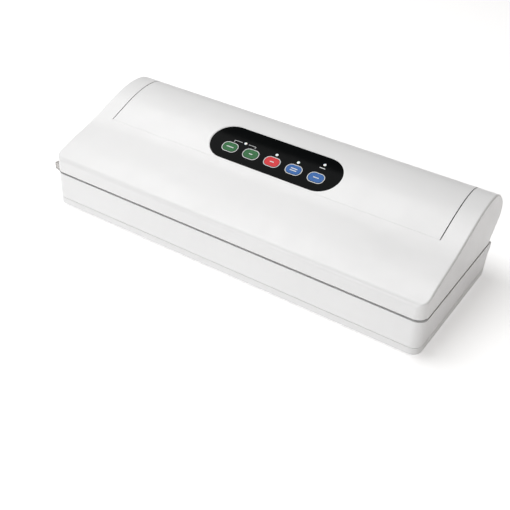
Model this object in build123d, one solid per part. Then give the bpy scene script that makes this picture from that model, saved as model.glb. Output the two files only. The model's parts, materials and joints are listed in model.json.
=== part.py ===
"""Countertop vacuum sealer: a low base, a hinged lid with a rounded back, and what works inside.

Millimetres. +X is the user's right, -Y the front where the bag goes in, +Z up.
The origin is on the worktop, under the centre of the body.
"""

import math
import os

from build123d import *

# ---------------------------------------------------------------- driving dimensions
overall_depth = 157.0      # lid front to the back of the rounded hump
overall_height = 89.5      # worktop to the top of the lid
lid_width = 383.0
base_beyond_lid = 0.6      # base's end outside the lid's end
rear_overhang = 13.3       # how far the lid's back stands out behind the base
front_overhang = 0.5       # how far the lid's front stands out before the base
foot_height = 2.0
cover_height = 7.0         # bottom tray
base_height = 32.7         # tray and wall together, without the feet
wall = 2.5
seam_gap = 0.7             # lid rim to base rim
corner_radius = 9.0        # plan corners at the front
fit_gap = 0.3              # loose fit between moulded pieces
sealing_width = 324.0      # hot length of the heating element

# Lid
front_face_height = 12.1   # upright front face above the lid rim
front_round = 6.0          # its top edge
front_slope = 22.0         # slope of the lid where the round ends, degrees
corner_ease = 0.04         # plan corners start this far before the front face
rear_ledge = 5.0           # base rim left showing behind the lid's foot
bag_gap_height = 1.8       # slot for the bag under the lid's front
cover_half_width = 172.0   # centre cover, out to its side grooves
cover_front_share = 0.397  # its front edge, as a share of the depth
groove = 1.0

# Control panel
panel_length = 135.5
panel_width = 40.4
panel_centre_x = 1.4
panel_front_share = 0.408  # front edge of the panel, as a share of the depth
panel_height_share = 0.694 # the same edge, as a share of the lid's rise
panel_run_share = 0.2427   # front to rear edge, level, as a share of the depth
panel_climb_share = 0.2616 # front to rear edge, upward, as a share of the lid's rise
panel_thickness = 1.6
panel_sink = 0.35          # panel face below the lid's skin
panel_rim = 0.7            # bevel round the recess
key_length = 14.4
key_width = 9.6
key_corner = 4.4           # its corner radius
key_pitch = 22.8
key_proud = 0.2            # key face above the panel face
key_gap = 0.2
key_travel = 0.6
key_row = 14.4             # key centres, up the panel from its front edge
key_stem_radius = 2.2
led_radius = 1.4
led_proud = 0.1
panel_reach = 8.0          # cutters run this far above and below the panel's plane
board_drop = 8.0           # control board's underside below the panel's plane
board_thickness = 1.6
switch_body_height = 2.4
switch_button_height = 0.8

# Sealing line and vacuum chamber
deck_drop = 0.5            # deck below the base rim
heater_from_front = 12.5   # centre of the heating element behind the base's front
heater_bar_width = 8.6
heater_bar_height = 3.6
element_width = 3.0
foil = 0.3                 # element and tape thickness
trough_depth = 11.0
trough_from_front = 29.0
trough_width = 38.0
gasket_width = 5.0
gasket_height = 3.4
gasket_seat = 2.4          # how deep a gasket sits in its groove
gasket_margin = 4.0        # land between trough and gasket
gasket_radius = 8.0        # corners of the gasket's bead line
strip_height = 4.4         # silicone strip over the heating element
liner_thickness = 2.4

# Machinery housing on the deck
housing_half_width = 166.0
housing_depth = 40.0
housing_top_gap = 23.5     # housing top under the lid's top
housing_from_rear = 11.0   # housing's back face before the base's back
housing_round = 5.0

# Hinges
hinge_x = 118.0
pin_radius = 1.5
pin_clearance = 0.05
knuckle_radius = 3.4
base_knuckle_length = 14.0
lid_knuckle_length = 8.0
knuckle_gap = 0.4
hinge_above_seam = 4.5
hinge_behind_rim = 1.0

# Pump
pump_x = 96.0              # motor's nose
motor_radius = 12.0
motor_length = 30.0
motor_wall = 1.5
motor_end = 2.0            # end plates and bearing bosses
rotor_radius = 8.5
shaft_radius = 1.2
crank_throw = 2.0
crank_pin_radius = 1.5
running_gap = 0.05

# Small fixings and details
end_round = 1.6            # edges of the lid's ends
cover_joint = 0.1          # seam at the cover's front and sides
boss_radius = 3.5
screw_radius = 1.4
screw_length = 9.0
screw_head_radius = 2.9
liner_margin = 11.0        # liner runs this far behind the trough before it rises
liner_step = 24.0          # length of its raised part under the control board
tab_out = 4.0              # lift tab, out from the lid's end
tab_height = 6.5
tab_length = 12.0
deck_thickness = 2.2
foot_radius = 8.0
foot_seat = 1.0
foot_x = 165.0
nozzle_radius = 2.0
hose_grip = 6.0
hose_bend = 9.0
plunger_radius = 1.6
switch_x = 178.0

# Mains side
inlet_depth = 16.0
inlet_flange = 1.2
transformer_x = -112.0
inlet_x = 148.0
inlet_width = 24.0
inlet_height = 13.0
inlet_pin_spacing = 8.6
inlet_pin_radius = 1.2
inlet_lobe_radius = 4.6
inlet_waist = 3.4
inlet_recess = 10.0

# ---------------------------------------------------------------- derived places
base_width = lid_width + 2 * base_beyond_lid
lid_front = -overall_depth / 2
lid_back = overall_depth / 2
base_front = lid_front + front_overhang
base_back = lid_back - rear_overhang
cover_top = foot_height + cover_height
seam_z = foot_height + base_height
rim_z = seam_z + seam_gap
deck_z = seam_z - deck_drop
lid_rise = overall_height - rim_z
lid_foot = base_back - rear_ledge

heater_y = base_front + heater_from_front
trough_y0 = base_front + trough_from_front
trough_y1 = trough_y0 + trough_width
trough_half = sealing_width / 2 - 6.0
trough_floor = deck_z - trough_depth
liner_z0 = rim_z + 1.6
liner_z1 = liner_z0 + liner_thickness

housing_y1 = base_back - housing_from_rear
housing_y0 = housing_y1 - housing_depth
housing_z = overall_height - housing_top_gap

hinge_y = base_back + hinge_behind_rim
hinge_z = seam_z + hinge_above_seam

shaft_y = housing_y0 + housing_depth / 2
shaft_z = cover_top + motor_radius + 6.0
pump_top = housing_z - 6.0

cover_front = lid_front + cover_front_share * overall_depth
cover_low = hinge_z + 9.5
lid_boss_y = trough_y0 - gasket_margin - gasket_width - 3.5
lid_boss_places = [-176.0, 176.0]
board_low = -board_drop
switch_tip = board_low + board_thickness + switch_body_height + switch_button_height
key_stem_low = switch_tip + key_travel + 0.1
led_low = board_low + board_thickness
gasket_half_x = trough_half + gasket_margin + gasket_width / 2
gasket_half_y = trough_width / 2 + gasket_margin + gasket_width / 2
strip_z0 = deck_z + 0.4
heater_half = sealing_width / 2 + 4.0
heater_z0 = deck_z - heater_bar_height - 0.7
foot_places = [(side * foot_x, y)
               for side in (-1, 1) for y in (base_front + 18.0, base_back - 22.0)]
base_screw_places = [(side * x, y) for side in (-1, 1)
                     for x, y in ((180.0, base_front + 38.0), (176.0, base_back - 13.5),
                                  (75.0, trough_y1 + 17.0))]
screw_seat = foot_height + 3.0
cover_low_inside = foot_height + wall
inlet_z = cover_top + 3.0 + inlet_height / 2
port_length = gasket_margin + gasket_width + 2.0 + hose_grip
port_z = trough_floor + 5.3
motor_x0 = pump_x - motor_length
motor_x1 = pump_x
disc_x = motor_x1 + 5.5
rod_x = disc_x + 3.5
rod_width = 4.0
head_x = rod_x + rod_width / 2
case_x1 = motor_x1 + 20.0
head_z0 = shaft_z + 20.0
rod_top = head_z0 - 3.0
nozzle_z = head_z0 + 4.0
hose_start = head_x - 22.0
port_places = [motor_x0 - 50.0, motor_x0 - 12.0]
core_z0 = cover_low_inside + 3.0
core_z1 = core_z0 + 40.0
board_x0, board_x1 = -60.0, 10.0
board_y0, board_y1 = housing_y0 + 4.0, housing_y1 - 2.0
board_z = cover_low_inside + 4.0
switch_y = trough_y1 + 6.0
plunger_low = deck_z - 8.0
pin_half = base_knuckle_length / 2 + knuckle_gap + lid_knuckle_length


# ---------------------------------------------------------------- helpers
def block(x0, x1, y0, y1, z0, z1):
    """Box between two corners."""
    centre = Pos((x0 + x1) / 2, (y0 + y1) / 2, (z0 + z1) / 2)
    return centre * Box(x1 - x0, y1 - y0, z1 - z0)


def bar_x(radius, x0, x1, y, z):
    """Round bar along X."""
    return Pos((x0 + x1) / 2, y, z) * Rot(0, 90, 0) * Cylinder(radius, x1 - x0)


def bar_y(radius, x, y0, y1, z):
    """Round bar along Y."""
    return Pos(x, (y0 + y1) / 2, z) * Rot(90, 0, 0) * Cylinder(radius, y1 - y0)


def bar_z(radius, x, y, z0, z1):
    """Round bar along Z."""
    return Pos(x, y, (z0 + z1) / 2) * Cylinder(radius, z1 - z0)


def across(face, x0, x1):
    """Extrude a side-view face, drawn as (y, z), from x0 to x1."""
    return extrude(Plane.YZ.offset(x0) * face, x1 - x0)


def polygon(*points):
    """Closed straight-sided face."""
    return make_face(Polyline(*points, close=True))


def ring(x, y, half_x, half_y, width, z0, z1):
    """Ring with round corners, centred on its own bead line."""
    outer = RectangleRounded(2 * half_x + width, 2 * half_y + width, gasket_radius + width / 2)
    inner = RectangleRounded(2 * half_x - width, 2 * half_y - width, gasket_radius - width / 2)
    return Pos(x, y, z0) * extrude(outer - inner, z1 - z0)


def group(pieces):
    """Several separate solids kept as one node."""
    return Compound(children=[solid for piece in pieces for solid in piece.solids()])


# ---------------------------------------------------------------- lid outline
def lid_point(depth_share, height_share):
    """A point of the side view, from shares of the lid's depth and rise."""
    return (lid_front + depth_share * overall_depth, rim_z + height_share * lid_rise)


def lid_curve():
    """Points of the lid's top and rounded back, from the front edge round to its foot."""
    slope = math.radians(front_slope)
    centre = (lid_front + front_round, rim_z + front_face_height)
    start = (centre[0] - front_round * math.sin(slope), centre[1] + front_round * math.cos(slope))
    shares = [(0.162, 0.471), (0.274, 0.562), (0.363, 0.643), (0.452, 0.747), (0.545, 0.857),
              (0.64, 0.947), (0.761, 1.0), (0.834, 0.978), (0.892, 0.902), (0.943, 0.787),
              (0.985, 0.63), (0.9985, 0.47), (0.965, 0.268), (0.933, 0.159)]
    return centre, [start] + [lid_point(*share) for share in shares] + [(lid_foot, rim_z)]


def inset_points(points, amount, first_normal):
    """Move a line of points inward, each square to its neighbours."""
    moved = []
    for i, (y, z) in enumerate(points):
        before = points[max(i - 1, 0)]
        after = points[min(i + 1, len(points) - 1)]
        dy, dz = after[0] - before[0], after[1] - before[1]
        length = math.hypot(dy, dz)
        normal = first_normal if i == 0 else (dz / length, -dy / length)
        moved.append((y + amount * normal[0], z + amount * normal[1]))
    return moved


def lid_face(inset=0.0, bottom=rim_z):
    """Side view of the lid, moved inward by inset and closed at the height bottom."""
    centre, points = lid_curve()
    slope = math.radians(front_slope)
    line = inset_points(points, inset, (math.sin(slope), -math.cos(slope)))
    front_y = lid_front + inset
    shoulder = (front_y, centre[1])
    start_dir = (math.cos(slope), math.sin(slope))
    end_dir = (line[-1][0] - line[-2][0], line[-1][1] - line[-2][1])
    edges = [
        Line((front_y, bottom), shoulder),
        TangentArc(shoulder, line[0], tangent=(0, 1)),
        Spline(*line, tangents=[start_dir, end_dir]),
    ]
    last = line[-1]
    if abs(last[1] - bottom) > 1e-6:
        edges.append(Line(last, (last[0], bottom)))
        last = (last[0], bottom)
    edges.append(Line(last, (front_y, bottom)))
    return make_face(Wire(edges))


def plan_prism(half_width, y0, y1, radius, z0, z1):
    """Upright block with its two front corners rounded in plan."""
    outline = Pos(0, (y0 + y1) / 2) * Rectangle(2 * half_width, y1 - y0)
    outline = fillet(outline.vertices().group_by(Axis.Y)[0], radius)
    return Pos(0, 0, z0) * extrude(outline, z1 - z0)


def lid_solid(inset=0.0, bottom=rim_z):
    """The lid as if it were solid, moved inward by inset."""
    half = lid_width / 2 - inset
    body = across(lid_face(inset, bottom), -half, half)
    plan = plan_prism(half, lid_front + inset - corner_ease, lid_back + 5.0,
                      corner_radius - inset, bottom, overall_height + 5.0)
    return body & plan


# ---------------------------------------------------------------- panel frame
panel_angle = math.degrees(math.atan2(panel_climb_share * lid_rise,
                                      panel_run_share * overall_depth))
panel_front = lid_point(panel_front_share, panel_height_share)
panel_plane = Plane(
    origin=(panel_centre_x, panel_front[0], panel_front[1]),
    x_dir=(1, 0, 0),
    z_dir=(0, -math.sin(math.radians(panel_angle)), math.cos(math.radians(panel_angle))),
)
key_places = [key_pitch * step for step in (-2, -1, 0, 1, 2)]
key_names = ["key_green_left", "key_green_right", "key_red", "key_blue_left", "key_blue_right"]
key_offset = 0.7           # key row's centre, right of the panel's centre
led_places = [(-33.4, 23.6), (0.6, 23.3), (23.2, 23.2), (46.0, 30.6)]


def stadium(length, width, low, high, x=0.0, y=panel_width / 2):
    """Long rounded prism square to the panel."""
    outline = Pos(x, y) * SlotOverall(length, width)
    return panel_plane * (Pos(0, 0, low) * extrude(outline, high - low))


def oval(grow, low, high, x):
    """Round-cornered key prism square to the panel."""
    shape = RectangleRounded(key_length + 2 * grow, key_width + 2 * grow, key_corner + grow)
    outline = Pos(x, key_row) * shape
    return panel_plane * (Pos(0, 0, low) * extrude(outline, high - low))


def peg(radius, low, high, x, y):
    """Round prism square to the panel."""
    return panel_plane * (Pos(x, y, (low + high) / 2) * Cylinder(radius, high - low))


def beside_panel(along, above):
    """Side-view point from the distance up the panel and the height square to it."""
    lean = math.radians(panel_angle)
    return (panel_front[0] + along * math.cos(lean) - above * math.sin(lean),
            panel_front[1] + along * math.sin(lean) + above * math.cos(lean))


# ---------------------------------------------------------------- lid
def lid_skin():
    """Outer skin of the lid with its ends eased, hollow and open underneath."""
    body = lid_solid()
    end_edges = [
        edge for edge in body.edges()
        if abs(abs(edge.center().X) - lid_width / 2) < 0.01
        and edge.center().Z > rim_z + 1.0
        and edge.geom_type != GeomType.LINE
    ]
    return fillet(end_edges, end_round) - lid_solid(wall, rim_z - 1.0)


def cover_block(half_width, front_y, low_z):
    """Space that the lid's centre cover takes."""
    return block(-half_width, half_width, front_y, lid_back + 5.0, low_z, overall_height + 5.0)


def hinge_lug(x0, x1):
    """Lid knuckle with the web that carries it."""
    web = polygon((hinge_y - 5.0, hinge_z), (hinge_y + 3.0, hinge_z),
                  (hinge_y + 4.0, hinge_z + 8.5), (hinge_y - 5.0, hinge_z + 8.5))
    lug = across(web, x0, x1) + bar_x(knuckle_radius, x0, x1, hinge_y, hinge_z)
    return lug - bar_x(pin_radius + pin_clearance, x0 - 1.0, x1 + 1.0, hinge_y, hinge_z)


def lid_boss(x, y):
    """Screw post under the lid's front slope."""
    post = bar_z(boss_radius, x, y, liner_z1, overall_height) & lid_solid(wall, rim_z - 1.0)
    return post - bar_z(screw_radius, x, y, liner_z1 - 1.0, liner_z1 + screw_length)


def make_lid_frame(skin):
    """Front apron, both ends and the foot of the lid, with hinge lugs and screw posts."""
    space = cover_block(cover_half_width + groove / 2, cover_front - cover_joint, cover_low)
    frame = skin - space
    hollow = lid_solid(wall, rim_z - 1.0)
    half = base_knuckle_length / 2
    for side in (-1, 1):
        centre = side * hinge_x
        pocket = bar_x(knuckle_radius + 0.6, centre - half - knuckle_gap,
                       centre + half + knuckle_gap, hinge_y, hinge_z)
        frame = frame - pocket
        for direction in (-1, 1):
            near = centre + direction * (half + knuckle_gap)
            far = near + direction * lid_knuckle_length
            lug = hinge_lug(min(near, far), max(near, far))
            frame = frame + (lug - hollow)
    frame = frame - block(-lid_width, lid_width, lid_front - 1.0, lid_front + corner_radius,
                          rim_z - 1.0, rim_z + bag_gap_height)
    for x in lid_boss_places:
        frame = frame + lid_boss(x, lid_boss_y)
    shelf = block(-cover_half_width - 6.0, cover_half_width + 6.0, cover_front - 5.0,
                  cover_front + 5.0, rim_z, overall_height)
    lip = (lid_solid(wall, rim_z - 1.0) - lid_solid(wall + 1.5, rim_z - 2.0)) & shelf
    return frame + lip


def make_lid_cover(skin):
    """Centre cover of the lid, with the panel's recess and the holes under the keys."""
    space = cover_block(cover_half_width - groove / 2, cover_front, cover_low + cover_joint)
    cover = skin & space
    recess = stadium(panel_length + 0.2, panel_width + 0.2, -panel_reach, panel_reach, 0.0)
    below = lid_solid(panel_sink + panel_thickness, rim_z)
    cover = cover - (recess - below)
    bevel = stadium(panel_length + 2 * panel_rim, panel_width + 2 * panel_rim, -panel_reach, panel_reach)
    cover = cover - (bevel - lid_solid(panel_rim / 2, rim_z))
    for place in key_places:
        cover = cover - peg(key_stem_radius + 0.4, -panel_reach, panel_reach, place + key_offset, key_row)
    for x, y in led_places:
        cover = cover - peg(led_radius + 0.1, -panel_reach, panel_reach, x, y)
    return cover


def make_panel():
    """Glossy black control panel following the lid's curve, with its key and lamp holes."""
    skin = lid_solid(panel_sink, rim_z) - lid_solid(panel_sink + panel_thickness, rim_z - 1.0)
    panel = skin & stadium(panel_length, panel_width, -panel_reach, panel_reach)
    for place in key_places:
        panel = panel - oval(key_gap, -panel_reach, panel_reach, place + key_offset)
    for x, y in led_places:
        panel = panel - peg(led_radius, -panel_reach, panel_reach, x, y)
    return panel


def make_key(x):
    """Oval key cap on a short stem."""
    cap_low = panel_sink + panel_thickness - key_travel - 0.1
    cap_skin = lid_solid(panel_sink - key_proud, rim_z) - lid_solid(cap_low, rim_z - 1.0)
    cap = cap_skin & oval(0.0, -panel_reach, panel_reach, x)
    stem = peg(key_stem_radius, key_stem_low, 0.0, x, key_row)
    return cap + (stem & lid_solid(panel_sink + 0.4, rim_z))


def make_led_lenses():
    """Small clear lenses over the lamps."""
    skin = lid_solid(panel_sink - led_proud, rim_z)
    return group([skin & peg(led_radius, led_low, panel_reach, x, y) for x, y in led_places])


def make_control_board():
    """Board under the panel."""
    outline = Pos(0, panel_width / 2) * Rectangle(panel_length + 6.0, panel_width - 6.0)
    return panel_plane * (Pos(0, 0, board_low) * extrude(outline, board_thickness))


def make_tact_switches():
    """One tact switch under each key."""
    low = board_low + board_thickness
    switches = []
    for place in key_places:
        body = Pos(place + key_offset, key_row, low + switch_body_height / 2)
        body = body * Box(6.0, 6.0, switch_body_height)
        tip = Pos(place + key_offset, key_row, low + switch_body_height + switch_button_height / 2)
        tip = tip * Cylinder(1.6, switch_button_height)
        switches.append(panel_plane * (body + tip))
    return group(switches)


def make_board_posts():
    """Spacers that hold the control board under the cover."""
    hollow = lid_solid(wall, rim_z - 1.0)
    posts = []
    for x in (-panel_length / 2, panel_length / 2):
        for y in (6.0, panel_width - 6.0):
            posts.append(peg(2.5, board_low + board_thickness, panel_reach, x, y) & hollow)
    return group(posts)


def make_liner():
    """Inner panel of the lid: flat over the seal and chamber, then up under the board."""
    front = lid_front + wall + fit_gap
    riser = trough_y1 + liner_margin
    thick = liner_thickness
    ceiling = board_low - 1.0
    lean = math.radians(panel_angle)
    start = (riser - beside_panel(0.0, ceiling)[0]) / math.cos(lean)
    inner = beside_panel(start, ceiling - thick)
    corner = (riser, inner[1] + (riser - inner[0]) * math.tan(lean))
    outer = beside_panel(start, ceiling)
    outer_corner = (riser - thick, outer[1] + (riser - thick - outer[0]) * math.tan(lean))
    face = polygon((front, liner_z0), (riser, liner_z0), corner,
                   beside_panel(start + liner_step, ceiling - thick),
                   beside_panel(start + liner_step, ceiling),
                   outer_corner, (riser - thick, liner_z1), (front, liner_z1))
    half = lid_width / 2 - wall - fit_gap
    liner = across(face, -half, half) & plan_prism(
        half, front, lid_back, corner_radius - wall - fit_gap, liner_z0 - 1.0, overall_height)
    liner = liner & lid_solid(wall + fit_gap, rim_z - 1.0)
    ribs = block(-sealing_width / 2 - 7.0, sealing_width / 2 + 7.0, heater_y - 5.5,
                 heater_y + 5.5, liner_z1, liner_z1 + 3.0)
    land = ring(0.0, (trough_y0 + trough_y1) / 2, gasket_half_x, gasket_half_y,
                gasket_width + 3.0, liner_z1, liner_z1 + 2.0)
    liner = liner + ribs + land
    liner = liner - strip_space(liner_z0 - 1.0, strip_z0 + strip_height)
    liner = liner - ring(0.0, (trough_y0 + trough_y1) / 2, gasket_half_x, gasket_half_y,
                         gasket_width, liner_z0 - 1.0, liner_z0 + gasket_seat)
    for x in lid_boss_places:
        liner = liner - bar_z(screw_radius + 0.1, x, lid_boss_y, liner_z0 - 1.0, liner_z1 + 1.0)
    return liner


def strip_space(z0, z1):
    """Channel and body of the silicone pressure strip."""
    return block(-sealing_width / 2 - 4.0, sealing_width / 2 + 4.0, heater_y - 3.5,
                 heater_y + 3.5, z0, z1)


def screw(x, y, head_z, direction):
    """Pan-head screw; direction is the way it points, +1 up or -1 down."""
    head = bar_z(screw_head_radius, x, y, min(head_z, head_z + direction * 2.0),
                 max(head_z, head_z + direction * 2.0))
    tip = head_z + direction * screw_length
    shank = bar_z(screw_radius, x, y, min(head_z, tip), max(head_z, tip))
    slot = block(x - 2.2, x + 2.2, y - 0.4, y + 0.4, head_z - 0.9, head_z + 0.9)
    cross = block(x - 0.4, x + 0.4, y - 2.2, y + 2.2, head_z - 0.9, head_z + 0.9)
    return head + shank - slot - cross


def make_lift_tab():
    """Small finger tab at the left front corner of the lid."""
    x = -lid_width / 2
    outline = polygon((x + corner_radius, lid_front + 1.0), (x - tab_out, lid_front + 4.0),
                      (x - tab_out, lid_front + 8.0), (x + 1.0, lid_front + tab_length),
                      (x + corner_radius, lid_front + tab_length))
    return Pos(0, 0, rim_z) * extrude(outline, tab_height) - lid_solid()


# ---------------------------------------------------------------- base
def base_face():
    """Side view of the base: upright front, rear face leaning in towards the bottom."""
    low = foot_height
    return polygon((base_front, low), (base_front, seam_z), (base_back, seam_z),
                   (base_back + 1.2, seam_z - 1.8), (base_back + 1.2, seam_z - 6.0),
                   (base_back - 2.4, seam_z - 12.5), (base_back - 5.0, low))


def base_solid(inset, low, high):
    """The base as if it were solid, between two heights."""
    half = base_width / 2 - inset
    body = across(offset(base_face(), -inset) if inset else base_face(), -half, half)
    plan = plan_prism(half, base_front + inset, base_back + 5.0, corner_radius - inset, low, high)
    return body & plan


def make_base_shell():
    """Wall of the base, with the inlet's opening, the hinge knuckles and the screw posts."""
    shell = base_solid(0.0, cover_top, seam_z)
    shell = shell - base_solid(wall, cover_top - 1.0, seam_z + 1.0)
    shell = shell - plan_prism(base_width / 2 - wall, base_front + wall, base_back - wall,
                               corner_radius - wall, seam_z - 2 * wall, seam_z + 1.0)
    shell = shell - inlet_space(0.1)
    for side in (-1, 1):
        x0 = side * hinge_x - base_knuckle_length / 2
        x1 = x0 + base_knuckle_length
        web = polygon((base_back - wall, seam_z - 4.0), (base_back, seam_z - 4.0),
                      (hinge_y + knuckle_radius, hinge_z), (hinge_y - knuckle_radius, hinge_z),
                      (base_back - wall, seam_z))
        knuckle = across(web, x0, x1) + bar_x(knuckle_radius, x0, x1, hinge_y, hinge_z)
        shell = shell + (knuckle - bar_x(pin_radius, x0 - 1.0, x1 + 1.0, hinge_y, hinge_z))
    return shell


def inlet_space(gap):
    """Space that the mains inlet takes in the rear wall."""
    return block(inlet_x - inlet_width / 2 - gap, inlet_x + inlet_width / 2 + gap,
                 base_back - inlet_depth, base_back + 5.0,
                 inlet_z - inlet_height / 2 - gap, inlet_z + inlet_height / 2 + gap)


def make_base_cover():
    """Bottom tray, with recesses for the screws and seats for the feet."""
    tray = base_solid(0.0, foot_height, cover_top) - base_solid(wall, foot_height + wall, cover_top + 1.0)
    lip = base_solid(0.0, cover_top - 0.5, cover_top) - base_solid(0.5, cover_top - 1.0, cover_top + 1.0)
    tray = tray - lip
    for x, y in base_screw_places:
        tray = tray + bar_z(boss_radius + 2.0, x, y, foot_height, cover_top - fit_gap)
        tray = tray - bar_z(screw_head_radius + 0.4, x, y, foot_height - 1.0, screw_seat)
        tray = tray - bar_z(screw_radius + 0.1, x, y, foot_height - 1.0, cover_top + 1.0)
    for x, y in foot_places:
        tray = tray - bar_z(foot_radius, x, y, foot_height - 1.0, foot_height + foot_seat)
    return tray


def chamber_ring(width, z0, z1):
    """Ring on the bead line of the gaskets round the trough."""
    return ring(0.0, (trough_y0 + trough_y1) / 2, gasket_half_x, gasket_half_y, width, z0, z1)


def make_base_deck():
    """Top deck: heater channel, gasket groove, vacuum trough and the machinery housing."""
    inner = wall + fit_gap
    half = base_width / 2 - inner
    deck = plan_prism(half, base_front + inner, base_back - inner, corner_radius - inner,
                      deck_z - deck_thickness, deck_z)
    deck = deck + block(-trough_half - 2.0, trough_half + 2.0, trough_y0 - 2.0, trough_y1 + 2.0,
                        trough_floor - 2.0, deck_z)
    deck = deck + block(-heater_half - 2.0, heater_half + 2.0, heater_y - heater_bar_width / 2 - 2.0,
                        heater_y + heater_bar_width / 2 + 2.0, heater_z0 - 2.0, deck_z)
    deck = deck + chamber_ring(gasket_width + 4.0, deck_z - gasket_seat - 2.0, deck_z)
    deck = deck - block(-trough_half, trough_half, trough_y0, trough_y1, trough_floor, deck_z + 1.0)
    deck = deck - block(-heater_half, heater_half, heater_y - heater_bar_width / 2,
                        heater_y + heater_bar_width / 2, heater_z0, deck_z + 1.0)
    deck = deck - chamber_ring(gasket_width, deck_z - gasket_seat, deck_z + 1.0)
    shell = block(-housing_half_width, housing_half_width, housing_y0, housing_y1,
                  deck_z - deck_thickness, housing_z)
    top_edges = shell.edges().group_by(Axis.Z)[-1] + shell.edges().filter_by(Axis.Z)
    shell = fillet(top_edges, housing_round)
    skin = deck_thickness
    hollow = block(-housing_half_width + skin, housing_half_width - skin, housing_y0 + skin,
                   housing_y1 - skin, deck_z - deck_thickness - 1.0, housing_z - skin)
    hollow_edges = hollow.edges().group_by(Axis.Z)[-1] + hollow.edges().filter_by(Axis.Z)
    deck = deck + shell - fillet(hollow_edges, housing_round - skin)
    for x, y in base_screw_places:
        deck = deck + bar_z(boss_radius, x, y, cover_top, deck_z - deck_thickness)
        deck = deck - bar_z(screw_radius, x, y, cover_top - 1.0, cover_top + screw_length)
    for x in port_places:
        port = bar_y(nozzle_radius, x, trough_y1 + 1.0, trough_y1 + port_length, port_z)
        bore = bar_y(nozzle_radius - 0.8, x, trough_y1 - 1.0, trough_y1 + port_length + 1.0, port_z)
        deck = deck + port - bore
    deck = deck - bar_z(plunger_radius + 0.1, switch_x, switch_y, trough_floor, deck_z + 1.0)
    return deck


# ---------------------------------------------------------------- machinery
def make_motor():
    """Pump motor can with its end plates and the running bores for the shaft."""
    motor = bar_x(motor_radius, motor_x0, motor_x1, shaft_y, shaft_z)
    motor = motor + bar_x(4.0, motor_x1, motor_x1 + motor_end, shaft_y, shaft_z)
    motor = motor + bar_x(5.0, motor_x0 - motor_end, motor_x0, shaft_y, shaft_z)
    motor = motor - bar_x(motor_radius - motor_wall, motor_x0 + motor_end, motor_x1 - motor_end,
                          shaft_y, shaft_z)
    return motor - bar_x(shaft_radius + running_gap, motor_x0 - 1.0, motor_x1 + 3.0,
                         shaft_y, shaft_z)


def make_rotor():
    """Motor's rotor, pressed on the shaft."""
    x0 = motor_x0 + motor_end + 3.0
    x1 = motor_x1 - motor_end - 3.0
    rotor = bar_x(rotor_radius, x0, x1, shaft_y, shaft_z)
    return rotor - bar_x(shaft_radius, x0 - 1.0, x1 + 1.0, shaft_y, shaft_z)


def make_crankcase():
    """Housing between motor and pump head, open at the top for the rod."""
    case = block(motor_x1 + 2.0, case_x1, shaft_y - 13.0, shaft_y + 13.0, shaft_z - 13.0, head_z0)
    case = case - bar_x(10.5, motor_x1 + 4.0, case_x1 - 2.0, shaft_y, shaft_z)
    case = case - block(motor_x1 + 4.0, case_x1 - 2.0, shaft_y - 10.0, shaft_y + 10.0,
                        shaft_z, head_z0 + 1.0)
    case = case - bar_x(4.5, motor_x1 + 1.0, motor_x1 + 5.0, shaft_y, shaft_z)
    foot = block(motor_x1 + 2.0, case_x1, shaft_y - 9.0, shaft_y + 9.0, cover_low_inside, shaft_z - 13.0)
    return case + foot


def make_crank():
    """Motor shaft, crank disc and crank pin in one turning piece."""
    crank = bar_x(shaft_radius, motor_x0 - 0.5, disc_x, shaft_y, shaft_z)
    crank = crank + bar_x(6.0, disc_x, disc_x + 3.0, shaft_y, shaft_z)
    return crank + bar_x(crank_pin_radius, disc_x + 3.0, disc_x + 8.0,
                         shaft_y + crank_throw, shaft_z)


def make_rod():
    """Connecting rod: eye on the crank pin, blade and diaphragm button."""
    y = shaft_y + crank_throw
    x1 = rod_x + rod_width
    rod = bar_x(4.0, rod_x, x1, y, shaft_z)
    rod = rod + block(rod_x, x1, y - 1.5, y + 1.5, shaft_z + 2.0, rod_top - 1.0)
    rod = rod + bar_z(4.5, head_x, y, rod_top - 2.0, rod_top)
    return rod - bar_x(crank_pin_radius + running_gap, rod_x - 1.0, x1 + 1.0, y, shaft_z)


def make_diaphragm():
    """Rubber diaphragm clamped between crankcase and head."""
    return bar_z(12.0, head_x, shaft_y, head_z0, head_z0 + 1.2)


def make_pump_head():
    """Valve head with its hose nozzle."""
    head = bar_z(12.0, head_x, shaft_y, head_z0 + 1.2, head_z0 + 7.0)
    head = head + block(head_x - 6.0, head_x + 6.0, shaft_y - 8.0, shaft_y + 8.0,
                        head_z0 + 7.0, pump_top)
    nozzle = bar_x(nozzle_radius, hose_start, head_x - 2.0, shaft_y, nozzle_z)
    bore = bar_x(nozzle_radius - 0.8, hose_start - 1.0, head_x - 4.0, shaft_y, nozzle_z)
    return head + nozzle - bore


def make_hose():
    """Vacuum hose from the pump head down to the trough's port."""
    down_x = motor_x0 - 12.0
    route = FilletPolyline(
        (hose_start + hose_grip, shaft_y, nozzle_z),
        (down_x, shaft_y, nozzle_z),
        (down_x, shaft_y, port_z),
        (down_x, trough_y1 + port_length - hose_grip, port_z),
        radius=hose_bend,
    )
    start = Plane(origin=route @ 0, z_dir=route % 0)
    return sweep(start * (Circle(nozzle_radius + 1.2) - Circle(nozzle_radius)), path=route)


def make_transformer_core():
    """Laminated transformer core with its two windows."""
    x0, x1 = transformer_x - 24.0, transformer_x + 24.0
    core = block(x0, x1, shaft_y - 8.0, shaft_y + 8.0, core_z0, core_z1)
    for side in (-1, 1):
        centre = transformer_x + side * 12.0
        core = core - block(centre - 4.5, centre + 4.5, shaft_y - 9.0, shaft_y + 9.0,
                            core_z0 + 8.0, core_z1 - 8.0)
    feet = block(x0 - 5.0, x1 + 5.0, shaft_y - 8.0, shaft_y + 8.0, cover_low_inside, core_z0)
    return core + feet


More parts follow.
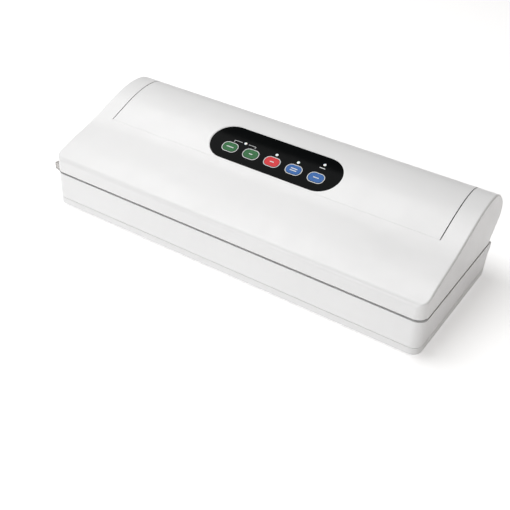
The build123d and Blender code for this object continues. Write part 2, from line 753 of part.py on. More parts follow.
def make_transformer_coil():
    """Winding round the core's middle leg."""
    coil = block(transformer_x - 16.2, transformer_x + 16.2, shaft_y - 14.5, shaft_y + 14.5,
                 core_z0 + 8.2, core_z1 - 8.2)
    leg = block(transformer_x - 7.5, transformer_x + 7.5, shaft_y - 8.0, shaft_y + 8.0,
                core_z0 + 8.0, core_z1 - 8.0)
    outer_left = block(transformer_x - 25.0, transformer_x - 16.5, shaft_y - 20.0, shaft_y + 20.0,
                       core_z0, core_z1)
    return coil - leg - outer_left


def make_main_board():
    """Supply board on its standoffs over the tray."""
    board = block(board_x0, board_x1, board_y0, board_y1, board_z, board_z + board_thickness)
    for x in (board_x0 + 5.0, board_x1 - 5.0):
        for y in (board_y0 + 5.0, board_y1 - 5.0):
            board = board + bar_z(2.5, x, y, cover_low_inside, board_z)
    return board


def make_board_parts():
    """Relay, capacitors and heat sink on the supply board."""
    top = board_z + board_thickness
    relay = block(board_x0 + 8.0, board_x0 + 27.0, board_y0 + 8.0, board_y0 + 23.0, top, top + 15.0)
    sink = block(board_x1 - 22.0, board_x1 - 8.0, board_y0 + 10.0, board_y0 + 22.0, top, top + 18.0)
    for step in range(3):
        x = board_x1 - 20.5 + step * 4.2
        sink = sink - block(x, x + 2.0, board_y0 + 12.5, board_y0 + 23.0, top + 2.0, top + 19.0)
    caps = [bar_z(5.0, board_x0 + 38.0 + 13.0 * i, board_y0 + 15.0, top, top + 16.0) for i in range(2)]
    return group([relay, sink, *caps])


def make_vent_valve():
    """Solenoid valve that lets air back into the chamber."""
    x = port_places[0]
    y0 = trough_y1 + port_length
    body = block(x - 7.0, x + 7.0, y0, y0 + 18.0, port_z - 9.0, port_z + 3.0)
    return body + bar_y(5.0, x, y0 + 18.0, y0 + 22.0, port_z - 3.0)


def make_micro_switch():
    """Lid switch under the deck, with the well its plunger runs in."""
    body = block(switch_x - 8.0, switch_x + 8.0, switch_y - 3.2, switch_y + 3.2,
                 plunger_low - 8.0, deck_z - deck_thickness)
    return body - bar_z(plunger_radius + 0.1, switch_x, switch_y, plunger_low, deck_z)


def make_plunger():
    """Lid switch plunger, pressed down by the closed lid."""
    return bar_z(plunger_radius, switch_x, switch_y, plunger_low + 0.3, liner_z0 - 0.1)


def make_inlet():
    """Mains inlet with its figure-of-eight recess."""
    body = inlet_space(0.0) & block(inlet_x - 50.0, inlet_x + 50.0, base_back - inlet_depth,
                                    base_back + inlet_flange, 0.0, seam_z)
    flange = block(inlet_x - inlet_width / 2 - 3.0, inlet_x + inlet_width / 2 + 3.0,
                   base_back - inlet_depth, base_back - inlet_depth + 2.0,
                   inlet_z - inlet_height / 2 - 1.5, inlet_z + inlet_height / 2 + 1.5)
    body = body + flange
    face = base_back + inlet_flange
    for side in (-1, 1):
        x = inlet_x + side * inlet_pin_spacing / 2
        body = body - bar_y(inlet_lobe_radius, x, face - inlet_recess, face + 1.0, inlet_z)
        body = body - bar_y(inlet_pin_radius, x, face - inlet_depth - 5.0, face + 1.0, inlet_z)
    waist = inlet_pin_spacing / 2
    return body - block(inlet_x - waist, inlet_x + waist, face - inlet_recess, face + 1.0,
                        inlet_z - inlet_waist, inlet_z + inlet_waist)


def make_inlet_pins():
    """The inlet's two contact pins."""
    face = base_back + inlet_flange
    return group([
        bar_y(inlet_pin_radius, inlet_x + side * inlet_pin_spacing / 2,
              base_back - inlet_depth - 3.0, face - 1.5, inlet_z)
        for side in (-1, 1)
    ])


def make_drip_tray():
    """Lift-out tray that lines the trough."""
    gap = fit_gap
    tray = block(-trough_half + gap, trough_half - gap, trough_y0 + gap, trough_y1 - gap,
                 trough_floor + 0.1, port_z - nozzle_radius - 0.5)
    return tray - block(-trough_half + gap + 1.0, trough_half - gap - 1.0, trough_y0 + gap + 1.0,
                        trough_y1 - gap - 1.0, trough_floor + 1.1, deck_z)


def make_parts():
    """Every node, by name."""
    skin = lid_skin()
    element_z = heater_z0 + heater_bar_height
    parts = {
        "base_shell": make_base_shell(),
        "base_cover": make_base_cover(),
        "base_deck": make_base_deck(),
        "rubber_feet": group([bar_z(foot_radius, x, y, 0.0, foot_height + foot_seat)
                              for x, y in foot_places]),
        "base_screws": group([screw(x, y, screw_seat - 2.0, 1) for x, y in base_screw_places]),
        "hinge_pins": group([
            bar_x(pin_radius, side * hinge_x - pin_half, side * hinge_x + pin_half, hinge_y, hinge_z)
            for side in (-1, 1)]),
        "lower_gasket": chamber_ring(gasket_width - 0.2, deck_z - gasket_seat,
                                     deck_z - gasket_seat + gasket_height),
        "drip_tray": make_drip_tray(),
        "heater_bar": block(-heater_half + 0.2, heater_half - 0.2, heater_y - heater_bar_width / 2 + 0.2,
                            heater_y + heater_bar_width / 2 - 0.2, heater_z0, element_z),
        "heating_element": block(-sealing_width / 2, sealing_width / 2, heater_y - element_width / 2,
                                 heater_y + element_width / 2, element_z, element_z + foil),
        "release_tape": block(-sealing_width / 2 - 3.0, sealing_width / 2 + 3.0,
                              heater_y - heater_bar_width / 2 + 0.4,
                              heater_y + heater_bar_width / 2 - 0.4,
                              element_z + foil, element_z + 2 * foil),
        "pump_motor": make_motor(),
        "motor_rotor": make_rotor(),
        "pump_crankcase": make_crankcase(),
        "pump_crank": make_crank(),
        "pump_rod": make_rod(),
        "pump_diaphragm": make_diaphragm(),
        "pump_head": make_pump_head(),
        "vacuum_hose": make_hose(),
        "vent_valve": make_vent_valve(),
        "transformer_core": make_transformer_core(),
        "transformer_coil": make_transformer_coil(),
        "supply_board": make_main_board(),
        "supply_board_parts": make_board_parts(),
        "lid_switch": make_micro_switch(),
        "switch_plunger": make_plunger(),
        "mains_inlet": make_inlet(),
        "inlet_pins": make_inlet_pins(),
        "lid_frame": make_lid_frame(skin),
        "lid_cover": make_lid_cover(skin),
        "lid_liner": make_liner(),
        "lid_screws": group([screw(x, lid_boss_y, liner_z0 - 2.0, 1) for x in lid_boss_places]),
        "upper_gasket": chamber_ring(gasket_width - 0.2, liner_z0 + gasket_seat - gasket_height,
                                     liner_z0 + gasket_seat),
        "pressure_strip": strip_space(strip_z0, strip_z0 + strip_height),
        "control_panel": make_panel(),
        "control_board": make_control_board(),
        "control_board_posts": make_board_posts(),
        "tact_switches": make_tact_switches(),
        "led_lenses": make_led_lenses(),
        "lift_tab": make_lift_tab(),
    }
    for name, place in zip(key_names, key_places):
        parts[name] = make_key(place + key_offset)
    return parts


os.makedirs("parts", exist_ok=True)
for node, shape in make_parts().items():
    export_step(shape, f"parts/{node}.step")
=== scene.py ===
"""Countertop vacuum sealer in white plastic: materials, small printed details and studio."""
import json
import math

import bpy
from mathutils import Matrix, Vector
from mathutils.bvhtree import BVHTree


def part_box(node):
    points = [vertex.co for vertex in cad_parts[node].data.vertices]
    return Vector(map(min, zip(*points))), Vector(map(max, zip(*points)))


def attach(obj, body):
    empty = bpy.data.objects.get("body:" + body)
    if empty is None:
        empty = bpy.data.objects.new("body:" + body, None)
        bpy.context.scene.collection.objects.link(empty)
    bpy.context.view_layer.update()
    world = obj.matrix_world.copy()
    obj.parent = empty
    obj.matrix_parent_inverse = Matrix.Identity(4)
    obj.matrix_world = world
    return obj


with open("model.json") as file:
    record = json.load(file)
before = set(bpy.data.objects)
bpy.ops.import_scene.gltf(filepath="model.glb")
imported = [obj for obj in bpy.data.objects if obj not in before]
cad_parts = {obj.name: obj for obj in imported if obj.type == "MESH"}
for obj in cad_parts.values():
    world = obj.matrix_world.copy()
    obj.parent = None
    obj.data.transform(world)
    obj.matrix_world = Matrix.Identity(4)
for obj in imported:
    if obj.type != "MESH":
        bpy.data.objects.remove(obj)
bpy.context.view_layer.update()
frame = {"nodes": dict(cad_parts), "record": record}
nodes = frame["nodes"]


# ---------------------------------------------------------------- node helpers
class Material:
    """A node material with one Principled shader, built step by step."""

    def __init__(self, name):
        self.mat = bpy.data.materials.new(name)
        self.mat.use_nodes = True
        self.tree = self.mat.node_tree
        self.shader = self.tree.nodes["Principled BSDF"]
        self.coords = self.tree.nodes.new("ShaderNodeTexCoord").outputs["Object"]

    def node(self, kind, **values):
        """New node; a value goes to the socket of that name, or else to the node's own setting."""
        made = self.tree.nodes.new(kind)
        for key, value in values.items():
            if key in made.inputs:
                made.inputs[key].default_value = value
            else:
                setattr(made, key, value)
        return made

    def link(self, source, target):
        self.tree.links.new(source, target)

    def set(self, **values):
        """Constants on the shader's own sockets."""
        for key, value in values.items():
            self.shader.inputs[key.replace("_", " ")].default_value = value

    def noise(self, scale, detail=3.0, roughness=0.55, stretch=None):
        """Noise in object space; stretch squeezes it along each axis."""
        made = self.node("ShaderNodeTexNoise", Scale=scale, Detail=detail, Roughness=roughness)
        source = self.coords
        if stretch:
            mapping = self.node("ShaderNodeMapping")
            mapping.inputs["Scale"].default_value = stretch
            self.link(source, mapping.inputs["Vector"])
            source = mapping.outputs["Vector"]
        self.link(source, made.inputs["Vector"])
        return made.outputs["Fac"]

    def ramp(self, source, stops):
        """Colour ramp over (position, colour) stops."""
        made = self.node("ShaderNodeValToRGB")
        elements = made.color_ramp.elements
        while len(elements) < len(stops):
            elements.new(0.5)
        for element, (place, colour) in zip(elements, stops):
            element.position = place
            element.color = (*colour, 1.0)
        self.link(source, made.inputs["Fac"])
        return made.outputs["Color"]

    def span(self, source, low, high, to_low, to_high):
        """Map a value range onto another."""
        made = self.node("ShaderNodeMapRange")
        for name, value in zip(("From Min", "From Max", "To Min", "To Max"),
                               (low, high, to_low, to_high)):
            made.inputs[name].default_value = value
        self.link(source, made.inputs["Value"])
        return made.outputs["Result"]

    def bump(self, *layers):
        """Stack of (height source, strength, distance) bumps."""
        normal = None
        for source, strength, distance in layers:
            made = self.node("ShaderNodeBump", Strength=strength, Distance=distance)
            self.link(source, made.inputs["Height"])
            if normal is not None:
                self.link(normal, made.inputs["Normal"])
            normal = made.outputs["Normal"]
        self.link(normal, self.shader.inputs["Normal"])

    def colour(self, source):
        self.link(source, self.shader.inputs["Base Color"])

    def roughness(self, source):
        self.link(source, self.shader.inputs["Roughness"])


def shade(colour, factor):
    """Colour made darker or lighter by a factor."""
    return tuple(min(1.0, channel * factor) for channel in colour)


def moulded(name, colour, rough=0.42, grain=0.00003, grain_scale=900.0, variation=0.02, coat=0.0):
    """Moulded plastic: faint flow marks in the colour, spark-eroded grain and handling sheen."""
    m = Material(name)
    flow = m.noise(9.0, 4.0, 0.6, (1.0, 2.2, 2.2))
    fine = m.noise(60.0, 3.0)
    darker, lighter = shade(colour, 1 - variation), shade(colour, 1 + variation * 0.4)
    m.colour(m.ramp(flow, [(0.3, darker), (0.7, lighter)]))
    m.roughness(m.span(fine, 0.35, 0.65, rough - 0.05, rough + 0.06))
    grain_noise = m.noise(grain_scale, 2.0, 0.5)
    waves = m.noise(22.0, 2.0, 0.4)
    m.bump((waves, 0.12, 0.0006), (grain_noise, 0.35, grain))
    m.set(IOR=1.5)
    if coat:
        m.set(Coat_Weight=coat, Coat_Roughness=0.18)
    return m


def rubbery(name, colour, rough=0.75):
    """Rubber: dull, with a fine pebble and paler dusty patches."""
    m = Material(name)
    dust = m.noise(35.0, 5.0, 0.65)
    m.colour(m.ramp(dust, [(0.35, colour), (0.75, shade(colour, 1.9))]))
    m.roughness(m.span(dust, 0.3, 0.7, rough - 0.08, rough + 0.1))
    m.bump((m.noise(1400.0, 2.0), 0.5, 0.00004), (m.noise(160.0, 3.0), 0.3, 0.0001))
    return m


def metal(name, colour, rough=0.3, brush=(1.0, 60.0, 60.0)):
    """Drawn or ground metal with fine lines along one axis."""
    m = Material(name)
    lines = m.noise(140.0, 4.0, 0.6, brush)
    patches = m.noise(14.0, 4.0)
    m.colour(m.ramp(patches, [(0.3, shade(colour, 0.86)), (0.7, shade(colour, 1.08))]))
    m.roughness(m.span(lines, 0.3, 0.7, rough - 0.08, rough + 0.14))
    m.bump((lines, 0.25, 0.00003))
    m.set(Metallic=1.0)
    return m


def foam(name, colour):
    """Closed-cell foam with small open pores on its skin, each pore darkened towards its middle as
    painted shade.
    """
    m = Material(name)
    cells = m.node("ShaderNodeTexVoronoi", Scale=1100.0)
    m.link(m.coords, cells.inputs["Vector"])
    pores = m.span(cells.outputs["Distance"], 0.0, 0.5, 0.0, 1.0)
    # painted shade in the pores: the colour darkens towards the middle of each pore
    m.colour(m.ramp(pores, [(0.0, shade(colour, 0.4)), (0.5, colour), (1.0, shade(colour, 1.5))]))
    m.roughness(m.span(pores, 0.0, 1.0, 0.95, 0.78))
    m.bump((pores, 0.6, 0.0002), (m.noise(60.0), 0.2, 0.0003))
    return m


def tape(name, colour):
    """Coated woven glass tape: fine weave under a smooth skin."""
    m = Material(name)
    waves = []
    for direction in ("X", "Y"):
        wave = m.node("ShaderNodeTexWave", Scale=420.0, bands_direction=direction)
        m.link(m.coords, wave.inputs["Vector"])
        waves.append(wave.outputs["Fac"])
    mix = m.node("ShaderNodeMath", operation="MULTIPLY")
    m.link(waves[0], mix.inputs[0])
    m.link(waves[1], mix.inputs[1])
    m.colour(m.ramp(mix.outputs["Value"], [(0.0, shade(colour, 0.72)), (1.0, shade(colour, 1.15))]))
    m.roughness(m.span(mix.outputs["Value"], 0.0, 1.0, 0.45, 0.3))
    m.bump((mix.outputs["Value"], 0.4, 0.00006), (m.noise(30.0), 0.2, 0.0003))
    return m


def windings(name, colour):
    """Close-wound enamelled wire, with painted shade in the grooves between turns and a painted
    highlight along each turn.
    """
    m = Material(name)
    wave = m.node("ShaderNodeTexWave", Scale=330.0, bands_direction="Z", Distortion=0.6)
    m.link(m.coords, wave.inputs["Vector"])
    # painted shade: darker in the grooves between turns; painted highlight: lighter along the crown
    # of each turn
    m.colour(m.ramp(wave.outputs["Fac"],
                    [(0.0, shade(colour, 0.35)), (0.6, colour), (1.0, shade(colour, 1.25))]))
    m.roughness(m.span(wave.outputs["Fac"], 0.0, 1.0, 0.5, 0.22))
    m.bump((wave.outputs["Fac"], 0.9, 0.0003))
    m.set(Metallic=0.85)
    return m


def laminations(name, colour):
    """Stacked transformer steel."""
    m = Material(name)
    wave = m.node("ShaderNodeTexWave", Scale=320.0, bands_direction="Y", Distortion=0.4)
    m.link(m.coords, wave.inputs["Vector"])
    m.colour(m.ramp(wave.outputs["Fac"], [(0.0, shade(colour, 0.55)), (1.0, shade(colour, 1.2))]))
    m.roughness(m.span(m.noise(40.0), 0.3, 0.7, 0.35, 0.6))
    m.bump((wave.outputs["Fac"], 0.6, 0.0002))
    m.set(Metallic=0.8)
    return m


def board(name, colour):
    """Solder-masked circuit board with tracks showing through."""
    m = Material(name)
    brick = m.node("ShaderNodeTexBrick", Scale=150.0)
    brick.inputs["Mortar Size"].default_value = 0.06
    m.link(m.coords, brick.inputs["Vector"])
    brick.inputs["Color1"].default_value = (*shade(colour, 0.8), 1)
    brick.inputs["Color2"].default_value = (*shade(colour, 1.1), 1)
    brick.inputs["Mortar"].default_value = (*shade(colour, 2.2), 1)
    m.colour(brick.outputs["Color"])
    m.roughness(m.span(m.noise(200.0), 0.3, 0.7, 0.28, 0.42))
    m.bump((brick.outputs["Fac"], 0.4, 0.00008))
    return m


def gloss(name, colour, rough=0.06, haze=0.05, specular=0.15):
    """Smooth film or key cap, with faint wipe marks in its sheen."""
    m = Material(name)
    wipe = m.noise(25.0, 4.0, 0.6, (0.6, 2.0, 2.0))
    cloud = m.noise(300.0, 2.0)
    m.colour(m.ramp(cloud, [(0.3, shade(colour, 0.92)), (0.7, shade(colour, 1.06))]))
    m.roughness(m.span(wipe, 0.35, 0.7, rough, rough + haze))
    m.bump((m.noise(30.0, 2.0), 0.08, 0.0004))
    m.set(Specular_IOR_Level=specular)
    return m


def clear(name, colour, rough=0.12):
    """Clear moulding with a milky heart."""
    m = Material(name)
    cloud = m.noise(400.0, 3.0)
    m.colour(m.ramp(cloud, [(0.3, shade(colour, 0.95)), (0.7, colour)]))
    m.roughness(m.span(cloud, 0.3, 0.7, rough, rough + 0.08))
    m.set(Transmission_Weight=0.45, IOR=1.49)
    return m


def lens(name, colour):
    """Frosted white lamp lens."""
    m = Material(name)
    frost = m.noise(600.0, 2.0)
    m.colour(m.ramp(frost, [(0.3, shade(colour, 0.95)), (0.7, colour)]))
    m.roughness(m.span(frost, 0.3, 0.7, 0.2, 0.3))
    m.bump((frost, 0.2, 0.00003))
    m.set(Subsurface_Weight=0.3, Subsurface_Scale=0.001)
    return m


# ---------------------------------------------------------------- materials by record slot
WHITE = (0.815, 0.818, 0.820)
MAKERS = {
    "white_shell": lambda n: moulded(n, WHITE, 0.40),
    "white_tray": lambda n: moulded(n, shade(WHITE, 0.97), 0.48),
    "white_lid": lambda n: moulded(n, WHITE, 0.34, coat=0.15),
    "white_cover": lambda n: moulded(n, WHITE, 0.34, coat=0.15),
    "grey_deck": lambda n: moulded(n, (0.56, 0.565, 0.57), 0.5, 0.00005),
    "grey_liner": lambda n: moulded(n, (0.62, 0.625, 0.625), 0.5, 0.00005),
    "dark_rubber": lambda n: rubbery(n, (0.03, 0.03, 0.032)),
    "screw_steel": lambda n: metal(n, (0.50, 0.50, 0.52), 0.32, (8.0, 8.0, 1.0)),
    "pin_steel": lambda n: metal(n, (0.62, 0.62, 0.64), 0.22),
    "gasket_foam": lambda n: foam(n, (0.035, 0.035, 0.038)),
    "tray_plastic": lambda n: moulded(n, (0.45, 0.46, 0.48), 0.35),
    "heater_insulator": lambda n: moulded(n, (0.16, 0.09, 0.055), 0.6, 0.00006),
    "element_strip": lambda n: metal(n, (0.52, 0.49, 0.45), 0.25, (1.0, 80.0, 80.0)),
    "ptfe_tape": lambda n: tape(n, (0.40, 0.26, 0.13)),
    "motor_can": lambda n: metal(n, (0.58, 0.58, 0.60), 0.28, (1.0, 20.0, 20.0)),
    "rotor_steel": lambda n: laminations(n, (0.26, 0.26, 0.27)),
    "pump_body": lambda n: moulded(n, (0.03, 0.03, 0.033), 0.5, 0.00006),
    "crank_steel": lambda n: metal(n, (0.50, 0.50, 0.52), 0.25),
    "rod_plastic": lambda n: moulded(n, (0.70, 0.68, 0.60), 0.45),
    "diaphragm_rubber": lambda n: rubbery(n, (0.02, 0.02, 0.02)),
    "pump_head_plastic": lambda n: moulded(n, (0.05, 0.05, 0.055), 0.45, 0.00006),
    "hose_silicone": lambda n: clear(n, (0.80, 0.80, 0.78), 0.3),
    "valve_body": lambda n: moulded(n, (0.66, 0.66, 0.64), 0.45),
    "core_steel": lambda n: laminations(n, (0.22, 0.22, 0.23)),
    "coil_copper": lambda n: windings(n, (0.60, 0.24, 0.08)),
    "board_green": lambda n: board(n, (0.02, 0.16, 0.06)),
    "board_parts_black": lambda n: moulded(n, (0.03, 0.03, 0.035), 0.4),
    "switch_body": lambda n: moulded(n, (0.03, 0.03, 0.035), 0.45),
    "plunger_plastic": lambda n: moulded(n, (0.55, 0.05, 0.04), 0.35),
    "inlet_black": lambda n: moulded(n, (0.015, 0.015, 0.016), 0.42, 0.00005),
    "inlet_brass": lambda n: metal(n, (0.72, 0.56, 0.28), 0.2, (40.0, 1.0, 40.0)),
    "strip_silicone": lambda n: rubbery(n, (0.42, 0.10, 0.06), 0.6),
    "panel_black": lambda n: gloss(n, (0.0025, 0.003, 0.0032), 0.12, specular=0.02),
    "post_plastic": lambda n: moulded(n, (0.66, 0.66, 0.64), 0.45),
    "lens_clear": lambda n: lens(n, (0.92, 0.93, 0.94)),
    "tab_clear": lambda n: clear(n, (0.62, 0.60, 0.58), 0.25),
    "key_green": lambda n: gloss(n, (0.012, 0.13, 0.032), 0.25),
    "key_red": lambda n: gloss(n, (0.66, 0.022, 0.03), 0.25),
    "key_blue": lambda n: gloss(n, (0.022, 0.125, 0.40), 0.25),
}


def dress_nodes():
    """Give every CAD node the finish of its material slot."""
    finishes = {}
    for entry in frame["record"]["subparts"]:
        slot = entry["material_slot"]
        if slot not in finishes:
            finishes[slot] = MAKERS[slot](slot).mat
        node = nodes[entry["node"]]
        node.data.materials.clear()
        node.data.materials.append(finishes[slot])


# ---------------------------------------------------------------- printed marks on the panel
KEYS = ["key_green_left", "key_green_right", "key_red", "key_blue_left", "key_blue_right"]
KEY_HALF = (0.0072, 0.0048)   # half length and half width of a key cap
KEY_CORNER = 0.0044           # radius of its corners
RING_OFFSET = 0.00065         # middle of the ring's line, outside the key
RING_WIDTH = 0.0006
RING_STEPS = 64
BRACKET_WIDTH = 0.0004
BRACKET_FROM_LAMP = 0.0035
BRACKET_PAST_LEG = 0.0002     # how far the level line runs past the leg
BRACKET_ABOVE_KEY = 0.0022    # end of the leg above the key's edge
BRACKET_TOP_STEPS = 16
BRACKET_LEG_STEPS = 6
LABEL_BELOW_LAMP = 0.0042
LABEL_LENGTH = 0.0056
LABEL_WIDTH = 0.0008
MARK_WIDTH = 0.0009
BAR_STEPS = 8                 # stretches in a label or mark
MARKS = {                     # rise above the key's centre and length of each bar
    "key_green_left": ((0.0, 0.0074),),
    "key_green_right": ((0.0, 0.0036),),
    "key_red": ((0.0, 0.0042),),
    "key_blue_left": ((0.0011, 0.0066), (-0.0011, 0.0066)),
    "key_blue_right": ((0.0, 0.0056),),
}
LAMP_GAP = 0.004              # wider gaps between points part one lamp from the next
INK_LIFT = 0.00003            # ink above the surface it is printed on
PROBE_FROM = 0.01             # surface is looked for from this far outside
PROBE_REACH = 0.03


def panel_axes():
    """Right, up and outward directions of the control panel, from its own box."""
    low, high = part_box("control_panel")
    right = Vector((1, 0, 0))
    up = Vector((0.0, high[1] - low[1], high[2] - low[2])).normalized()
    return right, up, right.cross(up)


def key_centre(name):
    """Middle of a key's box."""
    low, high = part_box(name)
    return (Vector(low) + Vector(high)) / 2


def surface_tree(name):
    """Tree over a node's mesh, for finding its surface along a ray."""
    mesh = nodes[name].data
    vertices = [v.co.copy() for v in mesh.vertices]
    return BVHTree.FromPolygons(vertices, [list(p.vertices) for p in mesh.polygons])


def laid_strip(name, path, width, tree, out, material, closed=False):
    """A printed line: a flat ribbon that follows the surface under a path of points."""
    count = len(path)
    vertices = []
    for i, point in enumerate(path):
        before = path[(i - 1) % count] if closed or i else path[i]
        after = path[(i + 1) % count] if closed or i < count - 1 else path[i]
        side = (after - before).cross(out).normalized() * width / 2
        for edge in (point - side, point + side):
            hit = tree.ray_cast(edge + out * PROBE_FROM, -out, PROBE_REACH)
            vertices.append((hit[0] if hit[0] else edge) + out * INK_LIFT)
    loops = count if closed else count - 1
    faces = []
    for i in range(loops):
        a, b = 2 * i, 2 * ((i + 1) % count)
        faces.append((a, a + 1, b + 1, b))
    return mesh_piece(name, vertices, faces, material)


def mesh_piece(name, vertices, faces, material):
    """New object from points and faces, with its material."""
    mesh = bpy.data.meshes.new(name)
    mesh.from_pydata([tuple(v) for v in vertices], [], faces)
    mesh.validate()
    mesh.update()
    piece = bpy.data.objects.new(name, mesh)
    bpy.context.scene.collection.objects.link(piece)
    mesh.materials.append(material)
    return piece


def segment(start, end, steps):
    """Evenly spaced points from start to end."""
    return [start.lerp(end, i / steps) for i in range(steps + 1)]


def ink(name, colour, rough=0.45):
    """Screen-printed ink: slightly uneven and dull."""
    m = Material(name)
    speck = m.noise(1500.0, 2.0)
    m.colour(m.ramp(speck, [(0.3, shade(colour, 0.86)), (0.6, colour)]))
    m.roughness(m.span(speck, 0.3, 0.7, rough - 0.08, rough + 0.08))
    m.bump((speck, 0.2, 0.00001))
    return m.mat


def on_panel(piece):
    """Printed on the panel, so it moves with the lid."""
    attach(piece, "lid")


def key_outline(grow):
    """Points round a key's outline, moved outward by grow."""
    radius = KEY_CORNER + grow
    reach_x = KEY_HALF[0] - KEY_CORNER
    reach_y = KEY_HALF[1] - KEY_CORNER
    outline = []
    for i in range(RING_STEPS):
        turn = 2 * math.pi * (i + 0.5) / RING_STEPS
        outline.append((math.copysign(reach_x, math.cos(turn)) + radius * math.cos(turn),
                        math.copysign(reach_y, math.sin(turn)) + radius * math.sin(turn)))
    return outline


def print_panel():
    """Pale rings round the keys, a bracket over the first two, and short neutral bars."""
    right, up, out = panel_axes()
    tree = surface_tree("control_panel")
    white = ink("ink_white", (0.78, 0.80, 0.80))
    for name in KEYS:
        middle = key_centre(name)
        ring = [middle + right * x + up * y for x, y in key_outline(RING_OFFSET)]
        on_panel(laid_strip("ring_" + name, ring, RING_WIDTH, tree, out, white, closed=True))
    print_bracket(tree, right, up, out, white)
    print_lamp_label(tree, right, up, out, white)
    print_key_marks(right, up, out)


def lamp_centre(index):
    """Middle of one of the four lamp lenses, counted from the left."""
    points = sorted((v.co for v in nodes["led_lenses"].data.vertices), key=lambda p: p.x)
    lamps = [[points[0]]]
    for point in points[1:]:
        if point.x - lamps[-1][-1].x > LAMP_GAP:
            lamps.append([])
        lamps[-1].append(point)
    return sum(lamps[index], Vector()) / len(lamps[index])


def print_bracket(tree, right, up, out, white):
    """Bracket from the first lamp down to the two green keys."""
    lamp = lamp_centre(0)
    arms = []
    for name, side in (("key_green_left", -1), ("key_green_right", 1)):
        key = key_centre(name)
        corner = key + up * (lamp - key).dot(up)
        near = lamp + right * side * BRACKET_FROM_LAMP
        far = corner + right * side * BRACKET_PAST_LEG
        end = key + up * (KEY_HALF[1] + BRACKET_ABOVE_KEY)
        arms.append(("bracket_top_" + name, segment(near, far, BRACKET_TOP_STEPS)))
        arms.append(("bracket_leg_" + name, segment(corner, end, BRACKET_LEG_STEPS)))
    for name, path in arms:
        on_panel(laid_strip(name, path, BRACKET_WIDTH, tree, out, white))


def level_bar(middle, right, length):
    """Points of a short level bar about its middle."""
    half = right * length / 2
    return segment(middle - half, middle + half, BAR_STEPS)


def print_lamp_label(tree, right, up, out, white):
    """Short bar under the last lamp."""
    path = level_bar(lamp_centre(3) - up * LABEL_BELOW_LAMP, right, LABEL_LENGTH)
    on_panel(laid_strip("lamp_label", path, LABEL_WIDTH, tree, out, white))


def print_key_marks(right, up, out):
    """Short neutral bars on the keys, in place of wording."""
    pale = ink("ink_pale", (0.70, 0.74, 0.74))
    for name, bars in MARKS.items():
        tree = surface_tree(name)
        for i, (rise, length) in enumerate(bars):
            path = level_bar(key_centre(name) + up * rise, right, length)
            piece = laid_strip(f"mark_{name}_{i}", path, MARK_WIDTH, tree, out, pale)
            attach(piece, name)


# ---------------------------------------------------------------- soft edges
EASED = {"base_shell": 0.0006, "base_cover": 0.0005, "lid_frame": 0.0002, "lid_cover": 0.0001,
         "control_panel": 0.00012}
EASE_ANGLE = math.radians(40)  # edges that turn by more than this are eased


def ease_edges():
    """A small moulded radius on the sharp edges of the outer mouldings."""
    for name, width in EASED.items():
        bevel = nodes[name].modifiers.new("ease", "BEVEL")
        bevel.width = width
        bevel.segments = 2
        bevel.limit_method = "ANGLE"
        bevel.angle_limit = EASE_ANGLE


# ---------------------------------------------------------------- studio
FLOOR_HALF = 6.0
FLOOR_TONES = ((0.925, 0.925, 0.925), (0.94, 0.94, 0.94))
FLOOR_GLOW = 0.36             # keeps the worktop near white
SKY_STRENGTH = 0.27
SKY_LEFT = (1.0, 1.0, 1.0, 1.0)
SKY_RIGHT = (0.50, 0.42, 0.36, 1.0)
SKY_RIGHT_FROM = 0.45         # X of a sky direction from which it is all the right-hand colour
AIM = (0.0, 0.0, 0.04)
LIGHTS = [                    # name, place, size, power
    ("overhead", (-0.55, -0.1, 1.6), (1.3, 1.4), 21.5),
    ("front", (-0.35, -1.8, 0.55), (1.2, 0.7), 8.0),
]
LENS = 59.84
SENSOR = 36.0
EYE = (0.345667, -0.572675, 0.446037)
EYE_RIGHT = (0.831226, 0.554206, 0.043809)
EYE_DOWN = (0.349914, -0.460326, -0.815880)
EYE_AHEAD = (-0.431999, 0.693510, -0.576559)


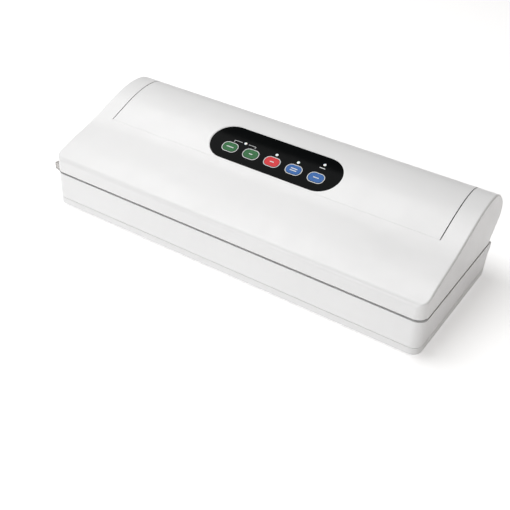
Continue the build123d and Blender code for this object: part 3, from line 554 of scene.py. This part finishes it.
def floor():
    """Near-white worktop."""
    m = Material("studio_floor")
    m.set(Roughness=0.9, Emission_Color=(1.0, 1.0, 1.0, 1.0), Emission_Strength=FLOOR_GLOW)
    m.colour(m.ramp(m.noise(2.0, 2.0), [(0.3, FLOOR_TONES[0]), (0.7, FLOOR_TONES[1])]))
    corners = [(x * FLOOR_HALF, y * FLOOR_HALF, 0) for x, y in ((-1, -1), (1, -1), (1, 1), (-1, 1))]
    piece = mesh_piece("studio_floor", corners, [(0, 1, 2, 3)], m.mat)


def soft_light(name, place, size, power):
    """Rectangular light aimed at the middle of the appliance."""
    data = bpy.data.lights.new(name, "AREA")
    data.shape = "RECTANGLE"
    data.size, data.size_y = size
    data.energy = power
    lamp = bpy.data.objects.new(name, data)
    bpy.context.scene.collection.objects.link(lamp)
    lamp.location = place
    lamp.rotation_euler = (Vector(AIM) - Vector(place)).to_track_quat("-Z", "Y").to_euler()


def studio():
    """Broad light from above, a weaker one in front, and a sky darker and warmer to the right."""
    world = bpy.data.worlds.new("studio")
    bpy.context.scene.world = world
    world.use_nodes = True
    tree = world.node_tree
    background = tree.nodes["Background"]
    background.inputs["Strength"].default_value = SKY_STRENGTH
    coords = tree.nodes.new("ShaderNodeTexCoord")
    split = tree.nodes.new("ShaderNodeSeparateXYZ")
    fade = tree.nodes.new("ShaderNodeValToRGB")
    left, right = fade.color_ramp.elements
    left.color = SKY_LEFT
    right.position = SKY_RIGHT_FROM
    right.color = SKY_RIGHT
    tree.links.new(coords.outputs["Generated"], split.inputs["Vector"])
    tree.links.new(split.outputs["X"], fade.inputs["Fac"])
    tree.links.new(fade.outputs["Color"], background.inputs["Color"])
    for light in LIGHTS:
        soft_light(*light)


def camera():
    """Eye high in front and to the right, looking down across the lid."""
    data = bpy.data.cameras.new("camera")
    data.lens = LENS
    data.sensor_width = SENSOR
    eye = bpy.data.objects.new("camera", data)
    bpy.context.scene.collection.objects.link(eye)
    axes = Matrix((Vector(EYE_RIGHT), -Vector(EYE_DOWN), -Vector(EYE_AHEAD)))
    eye.matrix_world = Matrix.Translation(EYE) @ axes.transposed().to_4x4()
    bpy.context.scene.camera = eye


dress_nodes()
ease_edges()
print_panel()
floor()
studio()
camera()
bpy.context.scene.view_settings.view_transform = "Standard"
